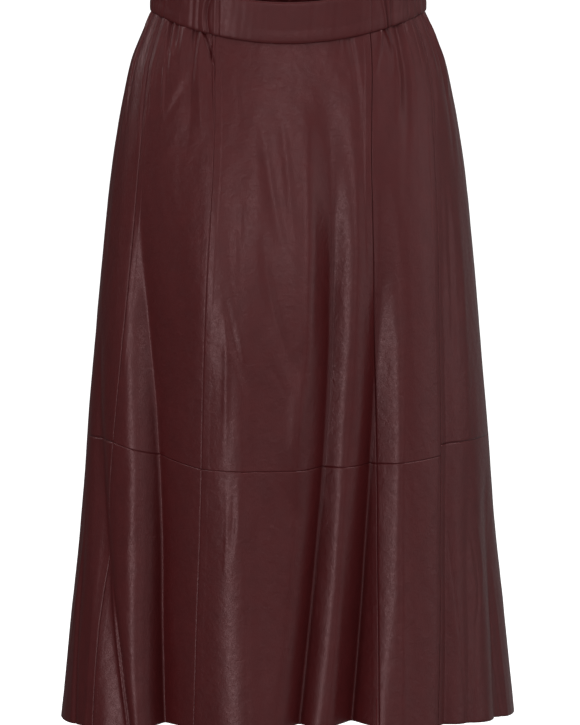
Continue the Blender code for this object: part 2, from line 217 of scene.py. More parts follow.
# Creases: small troughs, or ridges where the depth is positive, along a curve through three
# places, with a half width on each flank. Those from the waist start deep and die out. Those that
# pass the hem stay deep. The others fade at both ends.
CREASE_FADE = 1.3
CREASE_COLUMNS = ("fall_a", "turn_a", "turn_mid", "fall_b", "turn_b", "left", "right", "depth")
CREASES = (
    # gathers and caught folds on the left of the front, from the side seam inwards
    (0.000, -82.0, -83.0, 0.090, -77.0, 0.0030, 0.0020, 0.0020),
    (0.000, -79.0, -76.0, 0.120, -69.5, 0.0016, 0.0030, -0.0027),
    (0.000, -67.6, -60.6, 0.160, -57.2, 0.0014, 0.0024, -0.0032),
    (0.000, -61.0, -57.0, 0.120, -51.0, 0.0024, 0.0022, 0.0017),
    (0.000, -57.8, -51.2, 0.080, -47.8, 0.0016, 0.0036, -0.0035),
    (0.006, -54.4, -50.6, 0.100, -46.8, 0.0014, 0.0014, 0.0010),
    (0.000, -52.8, -50.2, 0.034, -49.0, 0.0016, 0.0020, -0.0027),
    (0.000, -47.2, -45.4, 0.046, -43.6, 0.0028, 0.0028, 0.0016),
    (0.000, -42.6, -41.4, 0.022, -40.8, 0.0015, 0.0015, -0.0017),
    (0.000, -41.0, -36.6, 0.130, -32.6, 0.0050, 0.0046, -0.0026),
    (0.010, -36.0, -32.4, 0.110, -29.4, 0.0040, 0.0030, 0.0012),
    (0.000, -37.0, -30.0, 0.050, -27.2, 0.0018, 0.0010, -0.0037),
    (0.000, -33.4, -27.6, 0.120, -25.0, 0.0034, 0.0010, -0.0020),
    (0.040, -37.0, -41.8, 0.106, -48.0, 0.0050, 0.0050, -0.0009),
    # the same on the right
    (0.000, 45.0, 44.4, 0.060, 38.0, 0.0044, 0.0013, -0.0035),
    (0.014, 45.6, 43.2, 0.100, 39.4, 0.0030, 0.0026, 0.0016),
    (0.000, 42.0, 36.0, 0.060, 30.4, 0.0030, 0.0026, 0.0017),
    (0.000, 26.4, 25.8, 0.120, 25.0, 0.0030, 0.0026, -0.0017),
    (0.000, 21.9, 20.8, 0.024, 19.6, 0.0020, 0.0026, -0.0012),
    (0.000, 51.5, 44.4, 0.190, 38.4, 0.0056, 0.0050, -0.0035),
    (0.000, 55.0, 50.4, 0.160, 46.0, 0.0014, 0.0014, 0.0007),
    (0.000, 67.8, 62.6, 0.130, 57.0, 0.0010, 0.0040, -0.0043),
    (0.000, 80.0, 80.6, 0.110, 67.6, 0.0026, 0.0018, 0.0023),
    (0.000, 76.0, 72.0, 0.080, 67.0, 0.0024, 0.0030, -0.0027),
    # soft swells and creases over the front centre
    (0.010, -23.6, -23.0, 0.400, -21.0, 0.0300, 0.0400, 0.0075),
    (0.080, -15.0, -13.0, 0.760, -10.0, 0.0300, 0.0150, 0.0066),
    (0.040, 20.8, 21.4, 0.420, 16.6, 0.0140, 0.0080, 0.0036),
    (0.060, 6.2, 6.6, 0.440, 2.6, 0.0115, 0.0090, 0.0046),
    (0.030, 12.0, 13.4, 0.420, 11.6, 0.0140, 0.0120, -0.0028),
    (0.300, 18.6, 14.4, 0.760, 9.8, 0.0080, 0.0050, 0.0018),
    (0.080, 37.4, 33.0, 0.760, 28.6, 0.0090, 0.0070, 0.0022),
    (0.060, -9.6, -5.6, 0.240, 0.4, 0.0060, 0.0044, -0.0014),
    (0.060, -3.2, 0.0, 0.215, 1.4, 0.0044, 0.0040, -0.0012),
    (0.030, -21.0, -17.8, 0.096, -16.0, 0.0030, 0.0026, -0.0006),
    (0.060, -12.0, -9.6, 0.290, -7.6, 0.0110, 0.0090, 0.0012),
    (0.180, -8.4, -4.6, 0.370, 4.0, 0.0056, 0.0040, -0.0015),
    (0.150, -15.8, -15.8, 0.290, -14.8, 0.0036, 0.0036, -0.0007),
    (0.255, -19.0, -15.2, 0.385, -9.4, 0.0034, 0.0048, -0.0013),
    (0.160, -14.2, -14.4, 0.225, -14.0, 0.0020, 0.0020, -0.0005),
    (0.270, -18.4, -17.6, 0.450, -18.0, 0.0036, 0.0036, 0.0010),
    (0.330, 3.0, 2.6, 0.500, 1.4, 0.0100, 0.0080, 0.0036),
    (0.325, -6.4, -3.0, 0.385, 1.2, 0.0016, 0.0014, -0.0004),
    (0.322, -3.0, -0.4, 0.362, 1.6, 0.0014, 0.0014, -0.0004),
    (0.326, 1.0, 3.4, 0.372, 6.0, 0.0014, 0.0016, -0.0005),
    (0.324, 3.4, 5.6, 0.374, 8.0, 0.0014, 0.0014, -0.0003),
    (0.454, -17.4, -16.5, 0.580, -17.4, 0.0016, 0.0016, 0.0004),
    (0.456, -15.4, -14.8, 0.560, -15.8, 0.0018, 0.0018, -0.0005),
    (0.454, -13.8, -13.2, 0.550, -14.4, 0.0018, 0.0016, 0.0004),
    (0.474, -3.0, -3.6, 0.545, -5.2, 0.0022, 0.0016, 0.0004),
    (0.470, 0.4, 1.8, 0.520, 3.4, 0.0020, 0.0020, -0.0003),
    # left side seam, the fold that starts from it and the left edge
    (0.540, -60.0, -50.5, 0.760, -44.0, 0.0064, 0.0020, 0.0018),
    (0.548, -57.8, -49.2, 0.760, -43.0, 0.0011, 0.0050, -0.0026),
    (0.320, -76.0, -73.0, 0.480, -70.4, 0.0060, 0.0050, -0.0015),
    (0.480, -79.0, -76.0, 0.690, -84.0, 0.0050, 0.0036, 0.0011),
    (0.500, -76.2, -73.0, 0.760, -66.0, 0.0030, 0.0060, -0.0024),
    (0.440, -68.0, -63.0, 0.760, -60.0, 0.0050, 0.0040, 0.0009),
    # right back panel, beside the right side seam
    (0.440, 48.2, 50.0, 0.760, 51.8, 0.0012, 0.0014, -0.0005),
    (0.500, 56.0, 61.6, 0.650, 55.6, 0.0024, 0.0018, -0.0009),
    (0.500, 60.4, 65.2, 0.610, 61.6, 0.0018, 0.0024, 0.0006),
    (0.520, 73.6, 70.4, 0.760, 73.2, 0.0018, 0.0024, -0.0012),
    (0.540, 74.6, 75.2, 0.760, 74.8, 0.0020, 0.0030, 0.0009),
    (0.440, 74.8, 75.0, 0.600, 66.0, 0.0012, 0.0012, 0.0003),
    (0.600, 60.0, 56.0, 0.760, 51.6, 0.0024, 0.0020, -0.0007),
    (0.090, 71.0, 67.0, 0.460, 62.0, 0.0070, 0.0060, 0.0009),
    (0.120, 62.4, 59.6, 0.400, 56.0, 0.0040, 0.0050, -0.0009),
    # back, like those in front
    (0.090, 100.0, 104.0, 0.240, 106.0, 0.0050, 0.0034, -0.0010),
    (0.180, 136.0, 132.0, 0.350, 127.0, 0.0040, 0.0030, -0.0011),
    (0.110, 158.0, 161.0, 0.270, 163.0, 0.0050, 0.0034, -0.0011),
    (0.300, 151.0, 155.0, 0.430, 157.0, 0.0040, 0.0030, -0.0008),
    (0.500, 112.0, 109.0, 0.760, 107.0, 0.0050, 0.0030, -0.0016),
    (0.540, 152.0, 154.0, 0.760, 155.0, 0.0040, 0.0030, -0.0014),
    (0.120, -172.0, -168.0, 0.280, -166.0, 0.0050, 0.0034, -0.0010),
    (0.200, -152.0, -154.0, 0.350, -158.0, 0.0040, 0.0030, -0.0011),
    (0.110, -129.0, -127.0, 0.250, -124.0, 0.0050, 0.0034, -0.0011),
    (0.300, -130.0, -127.0, 0.420, -125.0, 0.0040, 0.0030, -0.0008),
    (0.500, -150.0, -149.0, 0.760, -146.0, 0.0050, 0.0030, -0.0016),
    (0.540, -108.0, -107.0, 0.760, -106.0, 0.0040, 0.0030, -0.0014),
)

# Low waves all over the leather: their lengths across and down, phase and height. They bend, and
# they are higher in some patches than in others.
WAVE_RUN = 0.0034           # metres across for each degree
WAVE_BEND = 0.35
WAVE_BEND_RATE = 3.9
WAVE_PATCH_ACROSS = 41.0
WAVE_PATCH_DOWN = 17.0
WAVE_FAINTEST = 0.2
WAVE_COLUMNS = ("across", "down", "phase", "height")
WAVES = (
    (0.061, 0.310, 0.3, 0.00022),
    (0.047, -0.230, 2.1, 0.00016),
    (0.029, 0.120, 1.2, 0.00009),
    (0.023, -0.085, 4.4, 0.00007),
    (0.0155, 0.050, 5.3, 0.00004),
    (0.0125, -0.036, 0.9, 0.00003),
)

# Folds of the waistband: directions at its top, middle and lower edge, half widths and depth.
BAND_FOLD_COLUMNS = ("turn_top", "turn_mid", "turn_low", "left", "right", "depth")
BAND_FOLDS = (
    # beside the left join
    (-34.6, -37.2, -36.6, 0.0012, 0.0012, 0.0010),
    (-32.8, -35.4, -34.4, 0.0016, 0.0026, -0.0018),
    (-38.4, -39.6, -39.4, 0.0024, 0.0018, -0.0007),
    (-30.9, -31.4, -31.2, 0.0020, 0.0016, 0.0005),
    (-42.0, -42.4, -43.2, 0.0030, 0.0030, -0.0006),
    (-47.6, -49.4, -51.0, 0.0024, 0.0024, 0.0005),
    (-57.0, -61.0, -63.4, 0.0014, 0.0018, -0.0008),
    (-66.0, -68.5, -70.5, 0.0014, 0.0018, -0.0007),
    # beside the right join
    (40.4, 43.0, 44.4, 0.0012, 0.0010, 0.0008),
    (41.8, 44.2, 45.2, 0.0010, 0.0012, -0.0012),
    (43.6, 45.6, 46.0, 0.0010, 0.0010, 0.0008),
    (46.4, 47.0, 47.0, 0.0010, 0.0020, -0.0016),
    (57.0, 58.6, 60.0, 0.0014, 0.0020, -0.0006),
    (66.0, 67.0, 69.0, 0.0014, 0.0018, -0.0008),
    # faint on the flat front
    (2.0, 1.0, 1.0, 0.0024, 0.0024, -0.0002),
    (11.5, 10.5, 11.0, 0.0040, 0.0040, -0.0003),
    (22.0, 21.0, 20.0, 0.0030, 0.0030, -0.0002),
)

# Low waves of the waistband: radians for each degree across and each metre up, and height.
BAND_WAVE_COLUMNS = ("across", "up", "height")
BAND_WAVES = (
    (0.8, 60.0, 0.00010),
    (1.9, -90.0, 0.00006),
)

# The panels: the long seams on both sides, the falls at which the cross seam meets these, and the
# columns and rows of their grids above and below it.
PANEL_COLUMNS = ("name", "from", "to", "cross_from", "cross_to", "across", "upper", "lower")
PANELS = (
    ("front_centre", "front_left", "front_right", 0.4530, 0.4520, 130, 165, 124),
    ("front_side_left", "side_left", "front_left", 0.4335, 0.4530, 126, 165, 124),
    ("front_side_right", "front_right", "side_right", 0.4520, 0.4470, 96, 165, 124),
    ("back_left", "back_centre_left", "side_left", 0.4400, 0.4335, 206, 108, 84),
    ("back_right", "side_right", "back_centre_right", 0.4360, 0.4400, 214, 108, 84),
)
COLUMN_EVENNESS = 0.25      # columns and rows crowd towards the seams
ROW_EVENNESS = 0.5

# The pieces of the waistband, with the columns of their grids. The grid's rows go up the outer face,
# over the top fold and down inside, by shares at which each of these parts ends.
BAND_ROWS = 40
BAND_ROW_SHARES = (0.0, 0.06, 0.40, 0.60, 0.94, 1.0)
BAND_EDGE = 0.0014          # height of the close rows at its lower edges
BAND_EVENNESS = 0.6
BAND_COLUMNS = ("name", "from", "to", "across")
BANDS = (
    ("waistband_front", BAND_JOIN_LEFT, BAND_JOIN_RIGHT, 130),
    ("waistband_left", BACK_CENTRE["left"], BAND_JOIN_LEFT, 400),
    ("waistband_right", BAND_JOIN_RIGHT, BACK_CENTRE["right"], 390),
)

# Topstitching: up the band beside its joins, and down the lower left panel beside its side seam.
BAND_STITCHES = 14
BAND_STITCH_START = 0.0020
BAND_STITCH_PITCH = 0.0028
BAND_STITCH_LENGTH = 0.0020
BAND_STITCH_RADIUS = 0.00026
BAND_STITCH_SHIFT = 0.0016  # distance from the join
SEAM_STITCH_PITCH = 0.0034
SEAM_STITCH_LENGTH = 0.0022
SEAM_STITCH_RADIUS = 0.00018
SEAM_STITCH_SHIFT = 0.0052  # distance from the seam
SEAM_STITCH_FROM = 0.555    # falls between which it can be seen
SEAM_STITCH_TO = 0.722
STITCH_SIDES = 6


def smooth_step(value):
    """0 below 0, 1 above 1 and a soft S between."""
    value = np.clip(value, 0.0, 1.0)
    return value * value * (3.0 - 2.0 * value)


def along(table, columns, column, at):
    """A column's values at some heights, on one smooth curve through the table's rows."""
    place = columns.index(column)
    heights = np.array([row[0] for row in table])
    values = np.array([row[place] for row in table])
    last = len(heights) - 1
    low = np.maximum(np.arange(last + 1) - 1, 0)
    high = np.minimum(np.arange(last + 1) + 1, last)
    slopes = (values[high] - values[low]) / (heights[high] - heights[low])
    at = np.clip(at, heights[0], heights[last])
    row = np.clip(np.searchsorted(heights, at, side="right") - 1, 0, last - 1)
    span = heights[row + 1] - heights[row]
    t = (at - heights[row]) / span
    start = (1.0 + 2.0 * t) * (1.0 - t) ** 2 * values[row] + t * (1.0 - t) ** 2 * span * slopes[row]
    end = t * t * (3.0 - 2.0 * t) * values[row + 1] + t * t * (t - 1.0) * span * slopes[row + 1]
    return start + end


def through_three(share, start, middle, end):
    """A value that goes smoothly through three others, at shares of 0, a half and 1."""
    first = 4.0 * middle - 3.0 * start - end
    second = 2.0 * (start + end - 2.0 * middle)
    return start + share * first + share * share * second


def swinging(low, high, angle):
    """A value that swings between two others."""
    return (high + low) / 2.0 + (high - low) / 2.0 * np.sin(angle)


def seam_turn(seam, fall):
    """Direction of a long seam at some heights."""
    if seam.startswith("back_centre"):
        return np.full_like(fall, BACK_CENTRE[seam.removeprefix("back_centre_")])
    return along(SEAMS, SEAM_COLUMNS, seam, fall)


def ring(turn, fall):
    """Half width and half depth of the ring, going smoothly from front to back."""
    half_width = along(RINGS, RING_COLUMNS, "half_width", fall)
    front = along(RINGS, RING_COLUMNS, "half_depth_front", fall)
    back = along(RINGS, RING_COLUMNS, "half_depth_back", fall)
    towards_back = (1.0 - np.cos(np.radians(turn))) / 2.0
    return half_width, front + (back - front) * towards_back


def arc_per_degree(turn, fall):
    """Length along the ring of one degree of turn."""
    half_width, half_depth = ring(turn, fall)
    angle = np.radians(turn)
    return np.radians(np.hypot(half_width * np.cos(angle), half_depth * np.sin(angle)))


def turned(offset):
    """An angle brought between -180 and 180 degrees."""
    return (offset + 180.0) % 360.0 - 180.0


def fold_turn(fold, fall):
    """A fold's direction at some heights."""
    keys = ("turn_0", "turn_25", "turn_55", "turn_hem")
    path = tuple((share, fold[key]) for share, key in zip(FOLD_SHARES, keys))
    share = (fall - fold["start"]) / (SIDE_FALL - fold["start"])
    return along(path, ("share", "turn"), "turn", share)


def fold_relief(turn, fall):
    """How far the main folds move the cloth outwards and sideways."""
    outwards, sideways = np.zeros_like(turn), np.zeros_like(turn)
    arc = arc_per_degree(turn, fall)
    for row in FOLDS:
        fold = dict(zip(FOLD_COLUMNS, row))
        grown = np.clip((fall - fold["start"]) / (SIDE_FALL - fold["start"]), 0.0, 1.0)
        offset = turned(turn - fold_turn(fold, fall))
        reach = np.where(offset < 0.0, fold["left"], fold["right"])
        reach = reach * (fold["narrow"] + (1.0 - fold["narrow"]) * grown)
        bottom = FOLD_BOTTOM + FOLD_SOFT * (1.0 - grown) ** 2
        away = np.hypot(offset * arc, bottom) - bottom
        crest = FOLD_CREST + FOLD_CREST_SHARE * reach
        flank = reach - away + np.hypot(reach - away, crest)
        flank = (flank / (reach + np.hypot(reach, crest))) ** fold["hollow"]
        moved = fold["depth"] * grown ** fold["growth"] * smooth_step(grown / FOLD_START) * flank
        outwards += moved * math.cos(math.radians(fold["lean"]))
        sideways += moved * math.sin(math.radians(fold["lean"]))
    return outwards, sideways


def crease_relief(turn, fall):
    """Small creases, and low waves all over."""
    total = np.zeros_like(turn)
    arc = arc_per_degree(turn, fall)
    for row in CREASES:
        crease = dict(zip(CREASE_COLUMNS, row))
        share = (fall - crease["fall_a"]) / (crease["fall_b"] - crease["fall_a"])
        if crease["fall_a"] == 0.0:
            swell = 1.0 - smooth_step(share)
        elif crease["fall_b"] > SIDE_FALL:
            swell = smooth_step(2.0 * share)
        else:
            swell = np.sin(math.pi * np.clip(share, 0.0, 1.0)) ** CREASE_FADE
        line = through_three(share, crease["turn_a"], crease["turn_mid"], crease["turn_b"])
        away = turned(turn - line) * arc
        away = away / np.where(away < 0.0, crease["left"], crease["right"])
        total += crease["depth"] * swell * np.exp(-away * away)
    across = turn * WAVE_RUN
    for row in WAVES:
        wave = dict(zip(WAVE_COLUMNS, row))
        bend = np.sin(fall / wave["down"] * WAVE_BEND_RATE + 2.0 * wave["phase"])
        bent = across + WAVE_BEND * wave["across"] * bend
        angle = 2.0 * math.pi * (bent / wave["across"] + fall / wave["down"]) + wave["phase"]
        patch = across * WAVE_PATCH_ACROSS + fall * WAVE_PATCH_DOWN + wave["phase"]
        total += wave["height"] * np.sin(angle) * swinging(WAVE_FAINTEST, 1.0, patch)
    return total


def gather_strength(waist_turn):
    """1 where the elastic draws the band in, next to nothing over the flat front."""
    from_left = smooth_step((BAND_JOIN_LEFT - JOIN_CLEAR - waist_turn) / JOIN_RUN)
    from_right = smooth_step((waist_turn - BAND_JOIN_RIGHT - JOIN_CLEAR) / JOIN_RUN)
    beside = smooth_step((np.abs(waist_turn) - GATHER_SIDE_START) / GATHER_SIDE_RUN)
    return np.maximum(from_left, from_right) * (GATHER_FRONT + (1.0 - GATHER_FRONT) * beside)


def gather_grooves(waist_turn, fall):
    """Narrow grooves that hang from the band, between rounded swells."""
    total = np.zeros_like(waist_turn)
    nearest = np.round(waist_turn / GATHER_PITCH)
    for step in (-1.0, 0.0, 1.0):
        count = nearest + step
        middle = GATHER_PITCH * (count + GATHER_SCATTER * np.sin(GATHER_RATES["place"] * count))
        depth = swinging(GATHER_FAINTEST, 1.0, GATHER_RATES["depth"] * count + 1.0)
        length = swinging(GATHER_SHORT, GATHER_LONG, GATHER_RATES["length"] * count)
        half = GATHER_HALF * (1.0 + GATHER_WIDENING * fall)
        away = turned(waist_turn - middle) / half
        total -= depth * np.exp(-np.abs(away) ** GATHER_SHARPNESS) * np.exp(-fall / length)
        between = turned(waist_turn - middle - GATHER_PITCH / 2.0) / (GATHER_PITCH * GATHER_SWELL_HALF)
        fading = np.exp(-fall / (length * GATHER_SWELL_LENGTH))
        total += GATHER_SWELL * depth * np.exp(-between ** 2) * fading
    return total * gather_strength(waist_turn)


def waist_seam_height(turn):
    """Height of the seam that joins the band to the panels."""
    facing = np.cos(np.radians(turn))
    change = np.where(facing > 0.0, -WAIST_DIP_FRONT, WAIST_RISE_BACK)
    return -BAND_HEIGHT / 2.0 + change * facing * facing


def hem_height(turn):
    """Height of the hem."""
    angle = np.radians(turn)
    rise = HEM_RISE_FRONT * np.clip(np.cos(angle), 0.0, 1.0) ** 2 + HEM_TILT * np.sin(angle)
    return -BAND_HEIGHT / 2.0 - SIDE_FALL + rise


def on_ring(turn, fall, relief, height, sideways=0.0):
    """Points on the ring at "fall", moved outwards and sideways and put at a height."""
    half_width, half_depth = ring(turn, fall)
    angle = np.radians(turn)
    fill = 1.0 + RING_SQUARENESS * np.sin(2.0 * angle) ** 2
    out_x, out_y = np.sin(angle) / half_width, -np.cos(angle) / half_depth
    size = np.hypot(out_x, out_y)
    out_x, out_y = out_x / size, out_y / size
    x = half_width * np.sin(angle) * fill + relief * out_x - sideways * out_y
    y = -half_depth * np.cos(angle) * fill + relief * out_y + sideways * out_x
    return np.stack([x, y, height + np.zeros_like(x)], axis=1)


def seam_relief(distance, rise, rolled):
    """The groove at a seam, its rolled edge, and the pressed allowance that lifts the leather."""
    groove = -GROOVE_DEPTH * np.exp(-(distance / GROOVE_HALF) ** 2)
    groove -= rolled * np.exp(-(distance / EDGE_ROLL) ** 2)
    lifted = 1.0 - smooth_step((distance - ALLOWANCE_WIDTH) / ALLOWANCE_EDGE)
    return groove + rise * lifted


def pucker(distance, along_seam, phase):
    """Tiny ripples that a seam draws into the leather beside it."""
    uneven = PUCKER_UNEVEN * np.sin(along_seam * PUCKER_UNEVEN_RATE + phase)
    wave = np.sin(2.0 * math.pi * along_seam / PUCKER_PITCH + uneven)
    return PUCKER_HEIGHT * wave * np.exp(-distance / PUCKER_REACH)


def panel_points(turn, fall, waist_turn, extra):
    """Points on the outer face of the panels. Above the waist seam they lie inside the band."""
    outwards, sideways = fold_relief(turn, fall)
    relief = outwards + crease_relief(turn, fall) + extra
    relief += GATHER_DEPTH * gather_grooves(waist_turn, np.maximum(fall, 0.0))
    inside_band = smooth_step(-fall / WAIST_TUCK_RUN)
    relief = relief * (1.0 - inside_band) - WAIST_TUCK * inside_band
    sideways = sideways * (1.0 - inside_band)
    share = fall / SIDE_FALL
    height = waist_seam_height(turn) * (1.0 - share) + hem_height(turn) * share
    lift = FOLD_LIFT * np.hypot(outwards, sideways) * share
    return on_ring(turn, fall, relief, height + lift, sideways)


def crowded(share, evenness):
    """Shares from 0 to 1, closer together at both ends."""
    return evenness * share + (1.0 - evenness) * share * share * (3.0 - 2.0 * share)


def add_cloth(name, across, down, place, thickness, materials):
    """A piece of leather: a grid laid on its form by "place", thickened inwards. A second material
    is for its inside."""
    sheet = bmesh.new()
    bmesh.ops.create_grid(sheet, x_segments=across, y_segments=down, size=0.5)
    mesh = bpy.data.meshes.new(name)
    sheet.to_mesh(mesh)
    sheet.free()
    flat = np.empty(len(mesh.vertices) * 3)
    mesh.vertices.foreach_get("co", flat)
    flat = flat.reshape(-1, 3)
    laid = place(flat[:, 0] + 0.5, 0.5 - flat[:, 1])
    mesh.vertices.foreach_set("co", laid.ravel())
    mesh.update()
    mesh.shade_smooth()
    for material in materials:
        mesh.materials.append(material)
    piece = bpy.data.objects.new(name, mesh)
    bpy.context.scene.collection.objects.link(piece)
    thicken = piece.modifiers.new("leather", "SOLIDIFY")
    thicken.thickness = thickness
    thicken.offset = -1.0
    if len(materials) > 1:
        thicken.material_offset = 1
        thicken.material_offset_rim = 1
    return piece


def hem_course(down, first):
    """Down a lower panel, round the hem's fold and up its turning: fall, offset, height."""
    last = SIDE_FALL - HEM_FOLD
    fall = first + (last - first) * crowded(np.clip(down / HEM_FOLDS_AT, 0.0, 1.0), ROW_EVENNESS)
    angle = math.pi * np.clip((down - HEM_FOLDS_AT) / (HEM_TURNS_UP_AT - HEM_FOLDS_AT), 0.0, 1.0)
    up = HEM_TURNING * np.clip((down - HEM_TURNS_UP_AT) / (1.0 - HEM_TURNS_UP_AT), 0.0, 1.0)
    return fall - up, HEM_FOLD * (np.cos(angle) - 1.0), -HEM_FOLD * np.sin(angle)


def seam_edge(seam):
    """How the leather lies beside a long seam."""
    return next(dict(zip(SEAM_EDGE_COLUMNS, row)) for row in SEAM_EDGES if row[0] == seam)


def add_panel(panel, part, materials):
    """Upper or lower part of a panel, between two long seams and two cross edges."""
    seam_start, seam_end = seam_edge(panel["from"]), seam_edge(panel["to"])

    def cross_at(across):
        return panel["cross_from"] + (panel["cross_to"] - panel["cross_from"]) * across

    def surface(across, fall):
        start, end = seam_turn(panel["from"], fall), seam_turn(panel["to"], fall)
        start = start - SEAM_OVERLAP / 2.0 / arc_per_degree(start, fall)
        end = end + SEAM_OVERLAP / 2.0 / arc_per_degree(end, fall)
        turn = start + (end - start) * across
        waist_start = seam_turn(panel["from"], fall * 0.0)
        waist_end = seam_turn(panel["to"], fall * 0.0)
        waist_turn = waist_start + (waist_end - waist_start) * across
        arc = arc_per_degree(turn, fall)
        from_start, from_end = (turn - start) * arc, (end - turn) * arc
        from_cross = np.abs(fall - cross_at(across))
        fade = 1.0 - ALLOWANCE_FADE * smooth_step((fall - ALLOWANCE_FADE_START) / ALLOWANCE_FADE_RUN)
        extra = seam_relief(from_start, seam_start["rise_after"] * fade, seam_start["roll"])
        extra += seam_relief(from_end, seam_end["rise_before"] * fade, seam_end["roll"])
        extra -= CROSS_GROOVE_DEPTH * np.exp(-(from_cross / GROOVE_HALF) ** 2)
        extra += pucker(from_start, fall, 0.0) + pucker(from_end, fall, 2.0)
        extra += pucker(from_cross, turn * arc, 4.0)
        return panel_points(turn, fall, waist_turn, extra)

    def place(across, down):
        across = crowded(across, COLUMN_EVENNESS)
        cross = cross_at(across)
        if part == "upper":
            length = cross - CROSS_GAP / 2.0 + WAIST_ALLOWANCE
            return surface(across, length * crowded(down, ROW_EVENNESS) - WAIST_ALLOWANCE)
        fall, offset, dropped = hem_course(down, cross + CROSS_GAP / 2.0)
        tiny = 0.0002
        aside = surface(across + tiny, fall) - surface(across - tiny, fall)
        downwards = surface(across, fall + tiny) - surface(across, fall - tiny)
        outwards = np.cross(downwards, aside)
        outwards /= np.linalg.norm(outwards, axis=1)[:, None]
        downwards /= np.linalg.norm(downwards, axis=1)[:, None]
        return surface(across, fall) + outwards * offset[:, None] - downwards * dropped[:, None]

    name = panel["name"] + "_" + part
    return add_cloth("leather_" + name, panel["across"], panel[part], place, PANEL_LEATHER, materials)


def band_relief(turn, height):
    """Ribs, soft folds and low waves of the band."""
    share = 1.0 - height / BAND_HEIGHT
    slant = turn + RIB_SLANT * np.sin(turn * RIB_RATES["slant"]) * share
    uneven = RIB_UNEVEN * np.sin(turn * RIB_RATES["uneven"])
    uneven += RIB_UNEVEN_FINER * np.sin(turn * RIB_RATES["finer"])
    ribs = np.sin(2.0 * math.pi * slant / RIB_PITCH + uneven)
    ribs *= swinging(RIB_FAINTEST, 1.0, turn * RIB_RATES["depth"] + 1.0)
    ribs += RIB_SWELL * np.sin(slant * RIB_RATES["swell"])
    relief = BAND_PROUD + RIB_DEPTH / 2.0 * ribs * gather_strength(turn) ** RIB_FADE
    arc = arc_per_degree(turn, turn * 0.0)
    for row in BAND_FOLDS:
        fold = dict(zip(BAND_FOLD_COLUMNS, row))
        line = through_three(share, fold["turn_top"], fold["turn_mid"], fold["turn_low"])
        away = (turn - line) * arc
        away = away / np.where(away < 0.0, fold["left"], fold["right"])
        relief += fold["depth"] * np.exp(-away * away)
    above = smooth_step((height - BAND_ALLOWANCE) / BAND_ALLOWANCE_RUN)
    relief += BAND_ALLOWANCE_RISE * (1.0 - above)
    for row in BAND_WAVES:
        wave = dict(zip(BAND_WAVE_COLUMNS, row))
        relief += wave["height"] * np.sin(turn * wave["across"] + height * wave["up"])
    return relief


def band_place(turn, height):
    """Points on the outer face of the band."""
    return on_ring(turn, turn * 0.0, band_relief(turn, height), waist_seam_height(turn) + height)


def add_band(band, materials):
    """A piece of the waistband: up its outer face, over its top fold and down inside."""
    start, end = band["from"], band["to"]
    straight = BAND_HEIGHT - BAND_FOLD
    over = straight + math.pi * BAND_FOLD
    inside = over + straight

    def place(across_share, down_share):
        across_share = crowded(across_share, BAND_EVENNESS)
        ends = np.array([start, end])
        overlap = SEAM_OVERLAP / 2.0 / arc_per_degree(ends, ends * 0.0)
        first, last = start - overlap[0], end + overlap[1]
        turn = first + (last - first) * across_share
        parts = (0.0, BAND_EDGE, straight, over, inside - BAND_EDGE, inside)
        course = np.interp(down_share, BAND_ROW_SHARES, parts)
        angle = np.clip((course - straight) / BAND_FOLD, 0.0, math.pi)
        height = np.where(course < over, np.minimum(course, straight), straight - (course - over))
        relief = band_relief(turn, height) + BAND_FOLD * (np.cos(angle) - 1.0)
        outer = course < straight
        relief -= np.where(outer, BAND_EDGE_TUCK * np.exp(-(height / BAND_EDGE_HALF) ** 2), 0.0)
        arc = arc_per_degree(turn, turn * 0.0)
        from_end = np.minimum(turn - first, last - turn) * arc
        relief -= BAND_END_TUCK * np.exp(-(from_end / BAND_END_HALF) ** 2)
        height = waist_seam_height(turn) + height + BAND_FOLD * np.sin(angle)
        return on_ring(turn, turn * 0.0, relief, height)

    return add_cloth("leather_" + band["name"], band["across"], BAND_ROWS, place, BAND_LEATHER, materials)


def add_stitches(name, ends, radius, material):
    """Short rounded stitches, each between two points on the leather."""
    row = bmesh.new()
    for start, end in ends:
        run = end - start
        size = (radius, radius, run.length / 2.0)
        place = Matrix.LocRotScale((start + end) / 2.0, run.to_track_quat("Z", "X"), size)
        bmesh.ops.create_uvsphere(
            row, u_segments=STITCH_SIDES, v_segments=STITCH_SIDES, radius=1.0, matrix=place
        )
    mesh = bpy.data.meshes.new(name)
    row.to_mesh(mesh)
    row.free()
    mesh.shade_smooth()
    mesh.materials.append(material)
    thread = bpy.data.objects.new(name, mesh)
    bpy.context.scene.collection.objects.link(thread)
    return thread


def band_stitches(join, shift):
    """A row of stitches up the band, beside one of its joins."""
    turns = np.full(BAND_STITCHES, join)
    turns = turns + shift / arc_per_degree(turns, turns * 0.0)
    low = BAND_STITCH_START + BAND_STITCH_PITCH * np.arange(BAND_STITCHES)
    starts, ends = band_place(turns, low), band_place(turns, low + BAND_STITCH_LENGTH)
    return [(Vector(a), Vector(b)) for a, b in zip(starts, ends)]


def seam_stitches(seam):
    """A row of stitches down a lower panel, on the +X side of a long seam in front."""
    fall = np.arange(SEAM_STITCH_FROM, SEAM_STITCH_TO, SEAM_STITCH_PITCH)
    rise = seam_edge(seam)["rise_after"] * (1.0 - ALLOWANCE_FADE)
    rows = []
    for at in (fall, fall + SEAM_STITCH_LENGTH):
        line = seam_turn(seam, at)
        turn = line + SEAM_STITCH_SHIFT / arc_per_degree(line, at)
        rows.append(panel_points(turn, at, seam_turn(seam, at * 0.0), np.full_like(at, rise)))
    return [(Vector(a), Vector(b)) for a, b in zip(*rows)]


